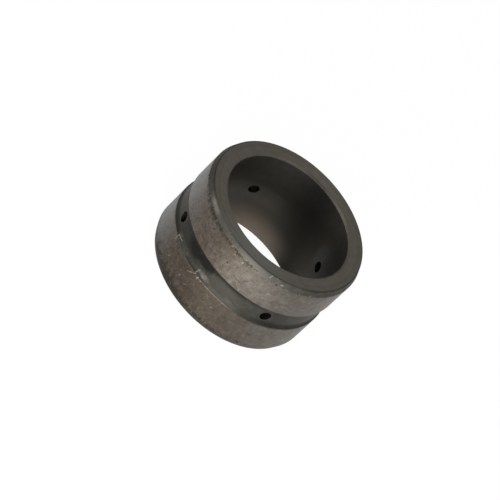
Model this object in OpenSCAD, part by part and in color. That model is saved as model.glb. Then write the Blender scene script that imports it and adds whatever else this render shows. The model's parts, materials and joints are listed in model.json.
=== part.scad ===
// Plain steel bushing for a linkage pin, turned in one piece.
// A wide shallow grease groove runs round the middle of the outside, and radial oil holes
// lead from its floor into the bore. Both ends carry a lead-in taper for pressing in.
// The bushing stands on one end face at z = 0, with its axis along +Z.

/* [Body] */
// Outside diameter of the two lands
outer_d = 76; // [68:0.5:96]
// Length from end face to end face
length = 44; // [28:0.5:80]

/* [Bore] */
// Diameter of the pin bore
bore_d = 60; // [40:0.5:68]
// Width of the 45 degree chamfer at each mouth of the bore
bore_chamfer = 0.8; // [0.2:0.1:1.5]

/* [Lead-in] */
// Length along the axis of the outside taper at each end
lead_len = 2.7; // [1:0.1:5]
// Angle of the outside taper to the axis, in degrees
lead_angle = 22; // [10:1:30]

/* [Grease groove] */
// Width of the groove where it meets the lands
groove_w = 10; // [8:0.1:16]
// Depth of the groove's flat floor below the lands
groove_depth = 0.9; // [0.4:0.1:1.5]
// Radius of the hollow sides that run from the floor up to the lands
groove_side_r = 3.5; // [2:0.1:5]

/* [Oil holes] */
// Diameter of each radial oil hole
oil_hole_d = 4.8; // [2:0.1:6]
// Number of oil holes, spread evenly round the groove
oil_hole_count = 4; // [2:1:8]

/* [Hidden] */
$fn = 144;

outer_r = outer_d / 2;
bore_r = bore_d / 2;
mid_z = length / 2;

// Radius of each end face's outer edge, where the taper starts
face_r = outer_r - lead_len * tan(lead_angle);

// Radius of the groove's floor, and how far each hollow side runs along the axis
floor_r = outer_r - groove_depth;
side_run = sqrt(2 * groove_side_r * groove_depth - groove_depth * groove_depth);
floor_w = groove_w - 2 * side_run;

// How far a cutting shape reaches past the surface that it cuts
overcut = 1;

// Half section of the blank: bore wall, bore chamfers, end faces, tapers and outside
module blank_section() {
    polygon([
        [bore_r, bore_chamfer],
        [bore_r + bore_chamfer, 0],
        [face_r, 0],
        [outer_r, lead_len],
        [outer_r, length - lead_len],
        [face_r, length],
        [bore_r + bore_chamfer, length],
        [bore_r, length - bore_chamfer]
    ]);
}

// Section of the cut that leaves the groove: a flat floor between two round sides
module groove_section() {
    translate([floor_r, mid_z - floor_w / 2])
        square([groove_depth + overcut, floor_w]);
    for (side = [-1, 1])
        translate([floor_r + groove_side_r, mid_z + side * floor_w / 2])
            circle(r = groove_side_r);
}

// One oil hole, drilled straight out from the axis through the wall
module oil_hole() {
    translate([0, 0, mid_z])
        rotate([0, 90, 0])
            cylinder(d = oil_hole_d, h = outer_r + overcut);
}

module bushing() {
    color([0.38, 0.36, 0.35])
        difference() {
            rotate_extrude() {
                difference() {
                    blank_section();
                    groove_section();
                }
            }
            for (i = [0 : oil_hole_count - 1])
                rotate([0, 0, i * 360 / oil_hole_count])
                    oil_hole();
        }
}

bushing();
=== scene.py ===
"""Looks of a turned steel bushing: scaled lands, a smooth grease groove, worn edges and a dark bore."""

import json
from math import cos, pi, radians, sin, tan

import bpy
from mathutils import Matrix, Vector


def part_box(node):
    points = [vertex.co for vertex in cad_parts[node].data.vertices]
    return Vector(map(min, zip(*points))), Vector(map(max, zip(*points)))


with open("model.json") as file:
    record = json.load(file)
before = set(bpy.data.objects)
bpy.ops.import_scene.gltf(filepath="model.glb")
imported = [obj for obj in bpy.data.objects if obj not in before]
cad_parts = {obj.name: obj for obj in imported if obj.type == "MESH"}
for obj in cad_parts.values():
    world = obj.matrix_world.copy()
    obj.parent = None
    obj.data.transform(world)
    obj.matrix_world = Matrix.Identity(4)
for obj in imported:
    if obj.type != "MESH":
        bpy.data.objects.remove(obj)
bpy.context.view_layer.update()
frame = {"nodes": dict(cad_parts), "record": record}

# Sizes in millimetres, from the frame and its stated fits
MM = 1000.0
bushing = frame["nodes"]["bushing"]
fits = {mount["name"]: mount["dims"] for mount in frame["record"]["mounts"]}
low_corner, high_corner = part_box("bushing")
LENGTH = (high_corner.z - low_corner.z) * MM
MID_Z = LENGTH / 2
OUTER_R = fits["outside"]["r_mm"]
BORE_R = fits["bore"]["r_mm"]
WALL_MID_R = (OUTER_R + BORE_R) / 2
LEAD_LEN = (LENGTH - fits["outside"]["length_mm"]) / 2
LAND_END = MID_Z - LEAD_LEN
MM_PER_DEGREE = OUTER_R * pi / 180

# Sizes in millimetres that the fits don't state
LEAD_ANGLE = radians(22)
FACE_R = OUTER_R - LEAD_LEN * tan(LEAD_ANGLE)
GROOVE_W = 10.0
GROOVE_DEPTH = 0.9
GROOVE_FLOOR_R = OUTER_R - GROOVE_DEPTH
GROOVE_LOW = MID_Z - GROOVE_W / 2
GROOVE_TOP = MID_Z + GROOVE_W / 2
OIL_HOLE_R = 2.4
EDGE_R = 0.2
RELIEF_DEPTH = 0.05

# The photograph's view, in metres: the picture is turned, so the camera rolls
VIEW_AZIMUTH = radians(-37.75)
VIEW_ELEVATION = radians(38.32)
VIEW_ROLL = radians(46.2)
VIEW_DISTANCE = 1.2316
LENS_MM = 212.56
SENSOR_MM = 36.0
AIM_RIGHT = -0.001
AIM_UP = 0.01315

turn_to_view = Matrix.Rotation(VIEW_AZIMUTH, 3, "Z")
VIEW_RIGHT = turn_to_view @ Vector((1, 0, 0))
VIEW_FRONT = turn_to_view @ Vector((0, -1, 0))

# Studio: sizes in metres, and the softbox's angles from the view's front and from the floor
FLOOR_SIZE = 12.0
FLOOR_PAINT = 0.93
FLOOR_LIFT_SEEN = 0.95
FLOOR_LIFT_GLOSS = 0.3
AMBIENT = 0.95
SOFTBOX_AZIMUTH = radians(6)
SOFTBOX_ELEVATION = radians(6)
SOFTBOX_DISTANCE = 0.3
SOFTBOX_SIZE = 0.1
SOFTBOX_WATTS = 1.8

# Colours of the lands' scale and of its wear
SCALE_DARK = (0.088, 0.077, 0.064, 1)
SCALE_PALE = (0.124, 0.111, 0.095, 1)
# Painted reflection: paler grey toward the lands' far left outline
SCALE_PAINTED_REFLECTION = (0.15, 0.147, 0.144, 1)
# Brown of the worn side, also laid low in front, where it partly stands in for shade
WORN_BROWN_AND_SHADE = (0.054, 0.042, 0.0305, 1)
RUN_BROWN = (0.044, 0.032, 0.022, 1)
LINE_BROWN = (0.036, 0.026, 0.018, 1)
SPECK_BROWN = (0.026, 0.019, 0.013, 1)
MARK_DARK = (0.03, 0.024, 0.018, 1)
SMUDGE_DARK = (0.026, 0.021, 0.016, 1)
STROKE_DARK = (0.022, 0.019, 0.014, 1)
FLECK_PALE = (0.26, 0.24, 0.21, 1)
CHIP_PALE = (0.25, 0.235, 0.2, 1)
# Pale of scratches and chips, also used for painted highlight in the groove
SCRATCH_AND_HIGHLIGHT_PALE = (0.3, 0.285, 0.255, 1)

# Colours of the groove, the oil holes, the tapers and the end faces
GROOVE_DARK = (0.0285, 0.027, 0.0215, 1)
GROOVE_PALE = (0.0375, 0.036, 0.0295, 1)
STAIN_BLACK = (0.006, 0.005, 0.0035, 1)
SCUFF_PALE = (0.26, 0.24, 0.22, 1)
HOLE_DARK = (0.007, 0.0065, 0.0045, 1)
TAPER_DARK = (0.044, 0.0425, 0.0355, 1)
TAPER_PALE = (0.056, 0.0535, 0.045, 1)
TAPER_FLECK = (0.3, 0.28, 0.25, 1)
FACE_DARK = (0.0665, 0.061, 0.049, 1)
FACE_PALE = (0.08, 0.0735, 0.06, 1)
# Paler grey in front on the end faces: painted light
FACE_FRONT_PAINTED_LIGHT = (0.098, 0.097, 0.084, 1)

# Colours of the bore
BORE_DARK = (0.046, 0.044, 0.037, 1)
BORE_PALE = (0.054, 0.052, 0.044, 1)
# Painted light and reflections in the bore: lighter low down, a brown sheen, a brown glow and a grey-blue
# haze
BORE_LOW_PAINTED_LIGHT = (0.1, 0.092, 0.076, 1)
BORE_PAINTED_BROWN_SHEEN = (0.125, 0.104, 0.082, 1)
BORE_PAINTED_GLOW = (0.36, 0.3, 0.238, 1)
BORE_PAINTED_HAZE = (0.12, 0.123, 0.132, 1)

# How far the finish reflects as bare metal
METAL_SHARE = 0.9

# Pale marks on the outside: start and end (degrees, mm), width in mm, strength
SCRATCHES = (
    ((-42.3, 17.6), (-41.6, 15.4), 0.3, 0.45),
    ((-42.3, 17.7), (-37.5, 18.1), 0.3, 0.35),
    ((-19.5, 14.3), (-14.0, 17.3), 0.25, 0.28),
    ((-15.0, 17.4), (-14.5, 19.8), 0.3, 0.22),
)
# Wear at the groove's lower lip; the last two, broad and faint, are painted highlight along the lower
# slope
LIP_WEAR_AND_HIGHLIGHT = (
    ((-11.7, 16.3), (-11.4, 17.1), 0.33, 0.5),
    ((-9.0, 16.7), (-8.7, 17.0), 0.3, 0.34),
    ((-8.0, 17.25), (13.0, 17.1), 0.22, 0.06),
    ((-42.0, 17.6), (-28.0, 17.8), 0.9, 0.08),
    ((-28.0, 17.8), (-16.0, 18.7), 0.7, 0.03),
)
CHIPS = (
    ((0.8, 39.4), (1.3, 39.6), 0.35, 0.35),
    ((-36.1, 8.6), (-35.8, 9.1), 0.35, 0.3),
    ((-21.0, 9.2), (-20.8, 9.9), 0.3, 0.3),
    ((7.2, 11.4), (7.6, 12.0), 0.3, 0.25),
    ((28.4, 42.0), (29.2, 42.3), 0.5, 0.3),
    ((20.0, 43.4), (19.5, 42.4), 0.3, 0.3),
    ((25.8, 34.7), (27.6, 34.9), 0.3, 0.35),
    ((50.2, 41.5), (50.9, 41.7), 0.4, 0.35),
)

# Dark marks on the lands, written in the same way
LAND_MARKS = (
    ((8.8, 32.4), (12.9, 35.8), 0.4, 0.45),
    ((6.0, 29.6), (10.3, 27.4), 0.45, 0.55),
    ((3.0, 31.6), (9.0, 31.0), 0.4, 0.45),
    ((-24.5, 33.0), (-23.0, 30.6), 0.5, 0.5),
    ((-33.0, 34.5), (-31.5, 33.2), 0.6, 0.5),
    ((-28.6, 31.0), (-26.0, 30.4), 0.55, 0.5),
    ((-25.0, 14.2), (-18.0, 14.0), 2.6, 0.38),
    ((-17.0, 9.2), (-8.0, 8.6), 2.8, 0.38),
)
LOW_EDGE_MARKS = (
    ((-58.5, 3.0), (-57.3, 4.4), 0.7, 0.45),
    ((-51.0, 3.0), (-49.5, 5.3), 0.9, 0.7),
    ((-45.0, 3.2), (-41.0, 4.4), 1.1, 0.75),
    ((-37.0, 3.4), (-33.0, 5.2), 1.0, 0.75),
    ((-30.5, 2.8), (-27.5, 3.6), 1.1, 0.7),
    ((-28.6, 3.0), (-27.4, 5.0), 1.0, 0.8),
    ((-24.0, 3.0), (-22.8, 5.3), 1.0, 0.8),
    ((-20.0, 2.9), (-17.5, 3.5), 0.9, 0.5),
    ((-15.6, 2.8), (-14.6, 3.7), 1.0, 0.75),
    ((-10.6, 2.7), (-9.6, 3.4), 0.9, 0.7),
    ((-5.2, 2.7), (-4.4, 3.4), 0.8, 0.7),
)
TOP_EDGE_MARKS = (
    ((-37.0, 40.2), (-36.3, 41.3), 0.8, 0.6),
    ((-32.4, 40.3), (-31.6, 41.4), 0.8, 0.6),
    ((-27.8, 40.4), (-27.0, 41.5), 0.9, 0.65),
    ((-23.3, 40.7), (-22.4, 41.6), 0.8, 0.65),
    ((-9.6, 40.9), (-9.0, 41.4), 0.6, 0.5),
    ((-4.6, 40.9), (1.6, 40.95), 0.45, 0.4),
)

# Stains and rubbed spots in the groove: middle and half size (degrees, mm), and the rubbed spots' strength
STAINS = (
    ((-26, 23.4), (11, 3.8)),
    ((-15, 24.6), (11, 3.2)),
    ((-13, 23.0), (6, 2.8)),
)
SCUFFS = (
    ((-10, 19.2), (7, 1.6), 0.34),
    ((12, 19.2), (4, 1.1), 0.12),
    ((-42, 18.4), (3.5, 1.4), 0.2),
)


class Field:
    """A value that varies over a surface: a node's output, with sums and products that add nodes."""

    def __init__(self, graph, socket):
        self.graph = graph
        self.socket = socket

    def __add__(self, other):
        return self.graph.math("ADD", self, other)

    def __sub__(self, other):
        return self.graph.math("SUBTRACT", self, other)

    def __rsub__(self, other):
        return self.graph.math("SUBTRACT", other, self)

    def __mul__(self, other):
        return self.graph.math("MULTIPLY", self, other)

    def __truediv__(self, other):
        return self.graph.math("DIVIDE", self, other)

    __radd__ = __add__
    __rmul__ = __mul__

    def absolute(self):
        return self.graph.math("ABSOLUTE", self)

    def clamped(self):
        """The value held between 0 and 1."""
        return self.graph.add("Clamp", {0: self})

    def rise(self, low, high):
        """0 up to low, 1 from high on, smooth between; falls where low is above high."""
        ends = {"Value": self, "From Min": low, "From Max": high}
        return self.graph.add("MapRange", ends, interpolation_type="SMOOTHSTEP", clamp=True)


class Graph:
    """Adds linked nodes to one tree; a value given to it is a number, a colour or a Field."""

    def __init__(self, tree):
        self.tree = tree
        tree.nodes.clear()

    def put(self, value, socket):
        if isinstance(value, Field):
            self.tree.links.new(value.socket, socket)
        else:
            socket.default_value = value

    def add(self, kind, inputs=None, output=0, **settings):
        node = self.tree.nodes.new("ShaderNode" + kind)
        for name, value in settings.items():
            setattr(node, name, value)
        for key, value in (inputs or {}).items():
            self.put(value, node.inputs[key])
        return Field(self, node.outputs[output]) if node.outputs else None

    def math(self, operation, a, b=0.0):
        return self.add("Math", {0: a, 1: b}, operation=operation)

    def larger(self, a, b):
        return self.math("MAXIMUM", a, b)

    def distance(self, a, b):
        """Length of the way whose two legs are a and b."""
        return self.math("SQRT", a * a + b * b)

    def angle(self, side, ahead):
        """Degrees from straight ahead, positive to the side."""
        return self.math("ARCTAN2", side, ahead) * (180 / pi)

    def mix(self, factor, a, b):
        """Colour a turned into colour b by factor."""
        return self.add("Mix", {0: factor, 6: a, 7: b}, 2, data_type="RGBA")

    def shade(self, color, factor):
        """Colour made darker or lighter by a factor."""
        return self.scale(color, factor)

    def scale(self, vector, factor):
        return self.add("VectorMath", {0: vector, "Scale": factor}, operation="SCALE")

    def stretch(self, vector, x, y, z):
        return self.add("VectorMath", {0: vector, 1: (x, y, z)}, operation="MULTIPLY")

    def along(self, vector, direction):
        """How far a vector reaches in a direction."""
        return self.add("VectorMath", {0: vector, 1: direction}, "Value", operation="DOT_PRODUCT")

    def split(self, vector):
        node = self.add("SeparateXYZ", {0: vector}).socket.node
        return [Field(self, output) for output in node.outputs]

    def join(self, x, y, z):
        return self.add("CombineXYZ", {0: x, 1: y, 2: z})

    def noise(self, vector, scale, detail=2.0, roughness=0.5, distortion=0.0):
        look = {"Vector": vector, "Scale": scale, "Detail": detail}
        look.update({"Roughness": roughness, "Distortion": distortion})
        return self.add("TexNoise", look)

    def cells(self, vector, scale):
        """Distance to the nearest of many scattered points."""
        return self.add("TexVoronoi", {"Vector": vector, "Scale": scale}, "Distance")


def bell(value, centre, half):
    """1 at a centre, falling smoothly to 0 at half a width on each side."""
    return (value - centre).absolute().rise(half, 0.0)


def patch(g, turn, z, at, size, ragged):
    """1 in the middle of an oval at (degrees, mm), 0 outside its half size, with a ragged edge."""
    across = (turn - at[0]) / size[0]
    along = (z - at[1]) / size[1]
    return (g.distance(across, along) + ragged).rise(1.0, 0.35)


def stroke(g, turn, z, start, end, width):
    """1 on a straight mark between two places (degrees, mm) on the outside, 0 beyond its width in mm."""
    across = (turn - start[0]) * MM_PER_DEGREE
    along = z - start[1]
    run = (end[0] - start[0]) * MM_PER_DEGREE
    climb = end[1] - start[1]
    share = ((across * run + along * climb) / (run * run + climb * climb)).clamped()
    return g.distance(across - share * run, along - share * climb).rise(width, width * 0.5)


class Surface:
    """Fields over the bushing that the finishes share, in millimetres and degrees.

    turn goes round the axis from the front of the view, positive to the right, and back does so from
    the far side. The noise and the wear lie on the object, so they stay in place from any view.
    """

    def __init__(self, g):
        self.find_places(g)
        self.find_turned_surfaces(g)
        self.find_oil_holes(g)
        self.add_noise(g)
        self.add_specks(g)
        self.add_edge_strokes(g)

    def find_places(self, g):
        self.p = g.scale(g.add("TexCoord", output="Object"), MM)
        self.x, self.y, self.z = g.split(self.p)
        self.r = g.distance(self.x, self.y)
        right = g.along(self.p, VIEW_RIGHT)
        front = g.along(self.p, VIEW_FRONT)
        self.turn = g.angle(right, front)
        self.back = g.angle(right * -1.0, front * -1.0)
        self.level = (self.z - MID_Z).absolute()
        self.edge_gap = LAND_END - self.level

    def find_turned_surfaces(self, g):
        """1 on each surface and 0 off it, blended over a fraction of a millimetre at the edges."""
        self.upper = self.z.rise(MID_Z - 1, MID_Z + 1)
        self.lower = 1.0 - self.upper
        self.outside = self.r.rise(WALL_MID_R - 0.6, WALL_MID_R + 0.6)
        sunk = (OUTER_R - self.r).rise(0.03, 0.2)
        near_middle = self.level.rise(GROOVE_W / 2 + 1, GROOVE_W / 2 + 0.6)
        self.in_groove = sunk * near_middle * self.outside
        self.in_taper = self.level.rise(LAND_END - 0.05, LAND_END + 0.15) * self.outside
        tilt = g.split(g.add("NewGeometry", output="True Normal"))[2]
        at_end = self.level.rise(MID_Z - 1, MID_Z - 0.9)
        self.on_face = tilt.absolute().rise(0.6, 0.7) * at_end
        self.in_mouth = self.on_face * self.r.rise(BORE_R + 1.0, BORE_R + 0.75)

    def find_oil_holes(self, g):
        """The holes lie on the X and Y axes, at mid length."""
        from_y_hole = g.distance(self.x, self.level)
        from_x_hole = g.distance(self.y, self.level)
        from_hole = g.math("MINIMUM", from_y_hole, from_x_hole)
        past_bore = self.r.rise(BORE_R + 0.05, BORE_R + 0.3)
        under_floor = self.r.rise(GROOVE_FLOOR_R - 0.05, GROOVE_FLOOR_R - 0.3)
        self.in_hole = from_hole.rise(OIL_HOLE_R + 0.15, OIL_HOLE_R + 0.02) * past_bore * under_floor

    def add_noise(self, g):
        """Noise from broad to fine, and places drawn out so that noise on them makes slanting lines."""
        self.broad = g.noise(self.p, 0.08, 3.0, 0.55)
        self.cloud = g.noise(self.p, 0.3, 4.0, 0.62, 0.3)
        self.mottle = g.noise(self.p, 0.55, 3.0, 0.6, 0.6)
        self.grain = g.noise(self.p, 1.2, 3.0, 0.7)
        self.dust = g.noise(self.p, 3.4, 2.0, 0.6)
        self.ragged = (self.cloud - 0.5) * 1.1
        self.wobbly_z = self.z + (self.mottle - 0.5) * 0.9
        self.slant_one = g.join(self.x + self.z * 0.8, self.y + self.z * 0.5, self.z * 0.12)
        self.slant_two = g.join(self.x - self.z * 0.6, self.y + self.z * 0.9, self.z * 0.12)
        self.ring = g.stretch(self.p, 1.0, 1.0, 0.5)

    def add_specks(self, g):
        """Dark specks, thickest on the worn side, and bright flecks and hairlines everywhere."""
        self.worn = bell(self.turn, -22, 50)
        self.low_front = bell(self.turn, -5, 65) * self.lower
        self.speck_field = self.cloud.rise(0.36, 0.55) * (self.worn * 0.8 + 0.2)
        self.specks = g.noise(self.p, 0.85, 2.0, 0.55, 0.8).rise(0.58, 0.65) * self.speck_field
        points = g.cells(g.stretch(self.p, 1.0, 1.0, 0.7), 0.3)
        flecks = points.rise(0.15, 0.06) * self.dust.rise(0.5, 0.64)
        hairs = g.noise(self.slant_two, 0.8, 2.0, 0.5, 0.8).rise(0.68, 0.74)
        self.bright_marks = g.larger(flecks, hairs * 0.5)

    def add_edge_strokes(self, g):
        """Short dark strokes at the lands' end edges, which fade faster on the taper than on the land."""
        fade = g.larger(self.edge_gap * 0.12, self.edge_gap * -0.25)
        thick_side = bell(self.turn, -32, 75)
        strokes = g.noise(self.ring, 0.75, 3.0, 0.66) - fade + thick_side * 0.15
        self.edge_strokes = strokes.rise(0.52, 0.62) * self.outside


def draw_marks(g, s, tone, marks, color, cover=1.0):
    """Paints straight marks over a tone, broken up by cover."""
    for start, end, width, strength in marks:
        mark = stroke(g, s.turn, s.wobbly_z, start, end, width)
        tone = g.mix(mark * cover * strength, tone, color)
    return tone


def scale_tone(g, s):
    """Taupe scale, brown on the worn side; paler grey at the far left as painted reflection, and painted
    shade low in front and toward the right.
    """
    tone = g.mix(s.cloud.rise(0.34, 0.68), SCALE_DARK, SCALE_PALE)
    # Painted reflection: paler grey toward the far left
    tone = g.mix(bell(s.turn, -80, 50) * 0.85, tone, SCALE_PAINTED_REFLECTION)
    # Painted shade: darker low in front and toward the right of the ring
    tone = g.shade(tone, 1.0 - s.low_front * (bell(s.turn, -10, 25) * 0.07 + 0.5))
    tone = g.shade(tone, 1.0 - bell(s.turn, 46, 42) * (s.upper * 0.06 + 0.05))
    tone = g.shade(tone, 1.0 - bell(s.turn, -21, 13) * s.upper * 0.12)
    # Brown on the worn side, and low in front partly as painted shade
    brown = g.larger(s.worn, s.low_front) * (s.broad.rise(0.3, 0.6) * 0.3 + 0.6)
    tone = g.mix(brown, tone, WORN_BROWN_AND_SHADE)
    return g.shade(tone, s.mottle * 0.9 + s.grain * 0.35 + s.dust * 0.15 + 0.3)


def scale_wear(g, s, tone):
    """Runs, specks, pits, lines and single marks in the scale, and bright flecks over them."""
    runs = g.noise(g.stretch(s.p, 1.0, 1.0, 0.3), 0.32, 3.0, 0.6, 0.5).rise(0.5, 0.66)
    tone = g.mix(runs * s.worn * 0.5, tone, RUN_BROWN)
    tone = g.mix(s.specks * 0.75, tone, SPECK_BROWN)
    low_worn = bell(s.turn, -24, 34) * s.lower
    pits = g.noise(g.stretch(s.p, 1.0, 1.0, 0.75), 0.62, 3.0, 0.6, 1.0).rise(0.52, 0.62)
    tone = g.shade(tone, 1.0 + low_worn * 0.06 - pits * low_worn * 0.42)
    lines = g.noise(s.slant_one, 0.7, 2.0, 0.55, 0.5).rise(0.58, 0.66)
    tone = g.mix(lines * s.speck_field * 0.6, tone, LINE_BROWN)
    tone = draw_marks(g, s, tone, LAND_MARKS + LOW_EDGE_MARKS + TOP_EDGE_MARKS, MARK_DARK)
    return g.mix(s.bright_marks * 0.5, tone, FLECK_PALE)


def land_edges(g, s, tone):
    """Dark strokes, smudges and pale chips at the lands' end edges, and painted shade along the lip at the
    groove.
    """
    right_low_rim = s.lower * s.turn.rise(-16, 0) * s.turn.rise(130, 90)
    # Darker toward the end edges, less so on the right of the lower rim
    tone = g.shade(tone, 1.0 - s.edge_gap.rise(3.0, 0.0) * (0.22 - right_low_rim * 0.2))
    chips = g.noise(s.ring, 1.7, 2.0, 0.5).rise(0.6, 0.68) * bell(s.edge_gap, 0.0, 0.9)
    tone = g.mix(chips * 0.5, tone, CHIP_PALE)
    tone = g.mix(s.edge_strokes * 0.9, tone, STROKE_DARK)
    rim = s.edge_gap.rise(5.0, 0.5) * s.lower * bell(s.turn, -30, 48)
    smudges = (g.noise(s.ring, 0.42, 3.0, 0.6, 0.8) + rim * 0.1).rise(0.52, 0.64) * rim
    tone = g.mix(smudges * 0.7, tone, SMUDGE_DARK)
    # Painted shade: a dark line along the groove's lower lip away from the front
    lip = s.z.rise(GROOVE_LOW - 1.0, GROOVE_LOW) * s.lower
    dark_lip = lip * (s.turn.rise(12, 32) + s.turn.rise(-48, -58))
    return g.shade(tone, 1.0 - dark_lip * 0.6)


def land_tone(g, s):
    return land_edges(g, s, scale_wear(g, s, scale_tone(g, s)))


def groove_tone(g, s):
    """Smooth greenish grey, with painted shade round the ring, on the lower slope and under the upper
    land, and a painted highlight along the lower slope.
    """
    tone = g.mix(s.cloud.rise(0.35, 0.7), GROOVE_DARK, GROOVE_PALE)
    # Painted shade in stretches round the ring, and painted light high on the left
    left = bell(s.turn, -30, 34) * 0.56 + bell(s.turn, -45, 8) * 0.12
    right = bell(s.turn, 45, 14) * 0.24 + bell(s.turn, 26, 9) * 0.12 + bell(s.turn, 5, 8) * 0.08
    tone = g.shade(tone, 1.15 - left - right)
    tone = g.shade(tone, 1.0 + bell(s.turn, -60, 17) * s.z.rise(MID_Z + 0.5, MID_Z + 2.5) * 0.28)
    # Painted highlight along the lower slope on the left; elsewhere painted shade darkens that slope
    painted_highlight = bell(s.turn, -34, 24)
    clear = (1.0 - painted_highlight) * (1.0 - bell(s.turn, 22, 16) * 0.4)
    tone = g.shade(tone, 1.0 - s.z.rise(GROOVE_LOW + 3.0, GROOVE_LOW + 1.2) * clear * 0.42)
    tone = g.shade(tone, 1.0 + bell(s.z, GROOVE_LOW + 2.0, 1.0) * painted_highlight * (s.grain * 1.6))
    # Painted shade under the upper land, weaker at the lit right end and right at the land's edge
    lit_end = s.turn.rise(10, 45) * s.turn.rise(130, 90)
    painted_shade_under_land = s.z.rise(GROOVE_TOP - 4.0, GROOVE_TOP - 0.6) * (0.48 - lit_end * 0.22)
    lit_edge = s.z.rise(GROOVE_TOP - 1.0, GROOVE_TOP) * 0.25
    return g.shade(tone, 1.0 - painted_shade_under_land + lit_edge)


def groove_wear(g, s, tone):
    """Dark stains, and spots that are rubbed pale in crossing threads."""
    for at, size in STAINS:
        tone = g.mix(patch(g, s.turn, s.z, at, size, s.ragged) * 0.85, tone, STAIN_BLACK)
    threads = g.noise(s.slant_two, 3.2, 2.0, 0.6).rise(0.5, 0.62)
    cross_threads = g.noise(s.slant_one, 3.2, 2.0, 0.6).rise(0.52, 0.64)
    weave = g.larger(threads, cross_threads) * 0.85 + 0.15
    for at, size, strength in SCUFFS:
        rub = patch(g, s.turn, s.z, at, size, s.ragged * 0.5) * weave
        tone = g.mix(rub * strength, tone, SCUFF_PALE)
    return tone


def upper_taper_tone(g, s, land):
    """Smooth grey taper with painted shade to the upper left, in front and toward the end face, a painted
    glint, and the land's scale over part of its lower half.
    """
    tone = g.mix(s.cloud.rise(0.35, 0.65), TAPER_DARK, TAPER_PALE)
    shades = bell(s.turn, -95, 62) * 0.42 + bell(s.turn, -10, 16) * 0.22
    glint = bell(s.turn, -40, 11) * bell(s.z, LENGTH - 1.0, 1.7) * 1.7
    tone = g.shade(tone, 1.0 - shades + glint)
    face_side = s.z.rise(LENGTH - 1.7, LENGTH - 0.2) * s.turn.rise(-30, -12) * s.turn.rise(45, 15)
    tone = g.shade(tone, 1.0 - face_side * 0.2 - bell(s.turn, 60, 18) * 0.14)
    tone = g.mix(s.bright_marks * 0.5, tone, TAPER_FLECK)
    ragged_z = s.z + (s.mottle - 0.5) * 1.4
    creep = ragged_z.rise(LENGTH - 1.1, LENGTH - 1.7) * bell(s.turn, -10, 14)
    return g.mix(creep * 0.85, tone, land)


def lower_taper_tone(g, s, land):
    """Dull taper in the land's own scale, darkened partly by stains and partly by painted shade, less so
    on the right and toward the end face.
    """
    right_side = s.turn.rise(-18, -4) * s.turn.rise(130, 90)
    lighter_by = right_side * (0.22 - bell(s.turn, 50, 16) * 0.12)
    return g.shade(land, 0.5 + lighter_by + s.z.rise(1.9, 0.6) * 0.35)


def taper_tone(g, s, land):
    tone = g.mix(s.upper, lower_taper_tone(g, s, land), upper_taper_tone(g, s, land))
    return g.mix(s.edge_strokes * 0.9, tone, STROKE_DARK)


def outside_tone(g, s):
    """Lands, groove and tapers, with the pale marks that cross them, two of them painted highlight."""
    land = land_tone(g, s)
    tone = g.mix(s.in_groove, land, groove_wear(g, s, groove_tone(g, s)))
    tone = g.mix(s.in_taper, tone, taper_tone(g, s, land))
    return draw_marks(g, s, tone, SCRATCHES + LIP_WEAR_AND_HIGHLIGHT + CHIPS, SCRATCH_AND_HIGHLIGHT_PALE, s.grain.rise(0.3, 0.5))


def face_tone(g, s):
    """Even grey end faces with painted light in front, at the far side and toward the outer edge, and a
    painted bright and dark stretch on the bore's chamfer.
    """
    tone = g.mix(s.cloud.rise(0.3, 0.7), FACE_DARK, FACE_PALE)
    tone = g.mix(bell(s.turn, 0, 42) * 0.8, tone, FACE_FRONT_PAINTED_LIGHT)
    tone = g.shade(tone, 1.2 + bell(s.back, 0, 40) * 0.25 + s.r.rise(BORE_R + 1.5, FACE_R) * 0.22)
    # Painted light and shade on the bore's chamfer
    mouth = bell(s.back, -32, 20) * 0.35 - bell(s.back, 2, 26) * 0.48
    return g.shade(tone, 1.0 + s.in_mouth * mouth)


def bore_tone(g, s):
    """Dark bore with painted light toward the bottom, a painted brown sheen low on one side, and painted
    shade that leans across the far wall.
    """
    tone = g.mix(s.cloud.rise(0.3, 0.7), BORE_DARK, BORE_PALE)
    tone = g.mix(s.z.rise(30, 6), tone, BORE_LOW_PAINTED_LIGHT)
    tone = g.mix(bell(s.back, 22, 34) * s.z.rise(24, 8) * 0.5, tone, BORE_PAINTED_BROWN_SHEEN)
    return g.shade(tone, 1.12 - bell(s.back - s.z * 0.55, -28, 38) * 0.7)


def bore_sheen(g, s, tone):
    """Painted reflections: a pale band at the holes' height, a brown glow at the lower mouth and a
    grey-blue haze beside one hole, with painted light and shade near the top.
    """
    band = s.z.rise(15, 19) * s.z.rise(26.5, 24.5) * s.back.rise(0, 18) * s.back.rise(110, 75)
    tone = g.shade(tone, 1.0 + band * (s.cloud * 0.3 + 0.15))
    glow = s.z.rise(14, -1) * s.back.rise(-30, 4) * s.back.rise(54, 14)
    tone = g.mix(glow, tone, BORE_PAINTED_GLOW)
    haze = patch(g, s.back, s.z, (-46, 25), (11, 9), s.ragged * 0.6)
    tone = g.mix(haze * 0.42, tone, BORE_PAINTED_HAZE)
    # Painted light high on one side, and painted shade at the top of the far wall
    tone = g.shade(tone, 1.0 + s.z.rise(27, 31) * bell(s.back, 42, 36) * 0.16)
    return g.shade(tone, 1.0 - s.z.rise(32, 40) * bell(s.back, 0, 40) * 0.3)


def face_edge_line(g, s):
    """Dark line at the end faces' outer edge, fainter in some stretches round the ring."""
    from_edge = g.distance(s.r - FACE_R, MID_Z - s.level)
    lighter_by = bell(s.turn, -28, 30) * 0.85 + bell(s.turn, 38, 18) * 0.4 + bell(s.back, 0, 80)
    return from_edge.rise(0.75, 0.15) * (1.0 - lighter_by)


def steel_color(g, s):
    """Each surface's tone in its place."""
    color = g.mix(s.outside, bore_sheen(g, s, bore_tone(g, s)), outside_tone(g, s))
    color = g.mix(s.on_face, color, face_tone(g, s))
    color = g.shade(color, 1.0 - face_edge_line(g, s) * 0.5)
    return g.mix(s.in_hole, color, HOLE_DARK)


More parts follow.
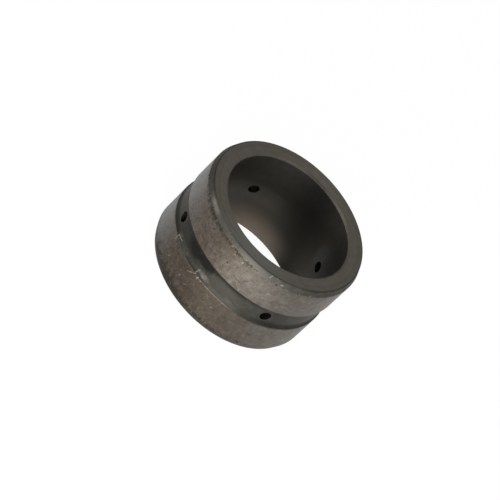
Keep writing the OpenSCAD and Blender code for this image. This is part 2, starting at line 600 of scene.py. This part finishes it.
def steel_normal(g, s):
    """Softly broken edges, with slight relief in the specks, flecks, strokes and grain."""
    marks = s.bright_marks * 0.3 - s.specks - s.edge_strokes * 1.2
    grained = g.larger(s.outside, s.on_face)
    height = marks * s.outside * (1.0 - s.on_face) + s.grain * 0.35 * grained
    soft_edges = g.add("Bevel", {"Radius": EDGE_R / MM}, samples=6)
    relief = {"Height": height, "Distance": RELIEF_DEPTH / MM, "Strength": 1.0, "Normal": soft_edges}
    return g.add("Bump", relief)


def new_material(name):
    material = bpy.data.materials.new(name)
    material.use_nodes = True
    return material, Graph(material.node_tree)


def steel():
    """The bushing's steel, with one finish for each turned surface."""
    material, g = new_material("heat_treated_steel")
    s = Surface(g)
    roughness = s.cloud * 0.12 + 0.44 + s.in_taper * 0.14 + s.in_groove * 0.1 + s.on_face * 0.2
    look = {"Base Color": steel_color(g, s), "Metallic": METAL_SHARE, "Roughness": roughness}
    look["Normal"] = steel_normal(g, s)
    g.add("OutputMaterial", {"Surface": g.add("BsdfPrincipled", look)})
    return material


def dress_bushing():
    """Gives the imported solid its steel."""
    bushing.data.materials.clear()
    bushing.data.materials.append(steel())


def floor_lift(g):
    """How far the floor is lifted to white for the rays that show it as a background."""
    path = g.add("LightPath").socket.node
    camera = Field(g, path.outputs["Is Camera Ray"])
    glossy = Field(g, path.outputs["Is Glossy Ray"])
    through = Field(g, path.outputs["Is Transmission Ray"])
    return g.larger(g.larger(camera, through) * FLOOR_LIFT_SEEN, glossy * FLOOR_LIFT_GLOSS)


def add_floor():
    """Pale floor that reads as white and still takes the bushing's shadow."""
    bpy.ops.mesh.primitive_plane_add(size=FLOOR_SIZE, location=(0, 0, 0))
    floor = bpy.context.object
    floor.name = "floor"
    material, g = new_material("pale_floor")
    paint = g.add("BsdfDiffuse", {"Color": (FLOOR_PAINT, FLOOR_PAINT, FLOOR_PAINT, 1)})
    glow = g.add("Emission", {"Color": (1, 1, 1, 1), "Strength": 1.0})
    mixed = g.add("MixShader", {0: floor_lift(g), 1: paint, 2: glow})
    g.add("OutputMaterial", {"Surface": mixed})
    floor.data.materials.append(material)


def add_world():
    """Even white studio surroundings."""
    world = bpy.data.worlds.new("studio")
    world.use_nodes = True
    bpy.context.scene.world = world
    g = Graph(world.node_tree)
    sky = g.add("Background", {"Color": (1, 1, 1, 1), "Strength": AMBIENT})
    g.add("OutputWorld", {"Surface": sky})


def add_softbox():
    """Small soft light, low in front of the bushing and facing it."""
    light = bpy.data.lights.new("front", "AREA")
    light.size = SOFTBOX_SIZE
    light.energy = SOFTBOX_WATTS
    flat = VIEW_FRONT * cos(SOFTBOX_AZIMUTH) + VIEW_RIGHT * sin(SOFTBOX_AZIMUTH)
    toward = flat * cos(SOFTBOX_ELEVATION) + Vector((0, 0, sin(SOFTBOX_ELEVATION)))
    softbox = bpy.data.objects.new("front", light)
    bpy.context.scene.collection.objects.link(softbox)
    softbox.location = Vector((0, 0, MID_Z / MM)) + toward * SOFTBOX_DISTANCE
    softbox.rotation_euler = toward.to_track_quat("Z", "Y").to_euler()


def add_camera():
    """Camera at the photograph's angle, rolled as the picture is."""
    forward = turn_to_view @ Vector((0, cos(VIEW_ELEVATION), -sin(VIEW_ELEVATION)))
    up = turn_to_view @ Vector((0, sin(VIEW_ELEVATION), cos(VIEW_ELEVATION)))
    across = VIEW_RIGHT * cos(VIEW_ROLL) + up * sin(VIEW_ROLL)
    upward = up * cos(VIEW_ROLL) - VIEW_RIGHT * sin(VIEW_ROLL)
    aim = VIEW_RIGHT * AIM_RIGHT + up * AIM_UP
    turned = Matrix((across, upward, -forward)).transposed()
    data = bpy.data.cameras.new("photo_view")
    data.lens = LENS_MM
    data.sensor_width = SENSOR_MM
    camera = bpy.data.objects.new("photo_view", data)
    bpy.context.scene.collection.objects.link(camera)
    camera.matrix_world = Matrix.Translation(aim - forward * VIEW_DISTANCE) @ turned.to_4x4()
    bpy.context.scene.camera = camera


bpy.context.scene.view_settings.view_transform = "Standard"
add_camera()
add_world()
add_floor()
add_softbox()
dress_bushing()
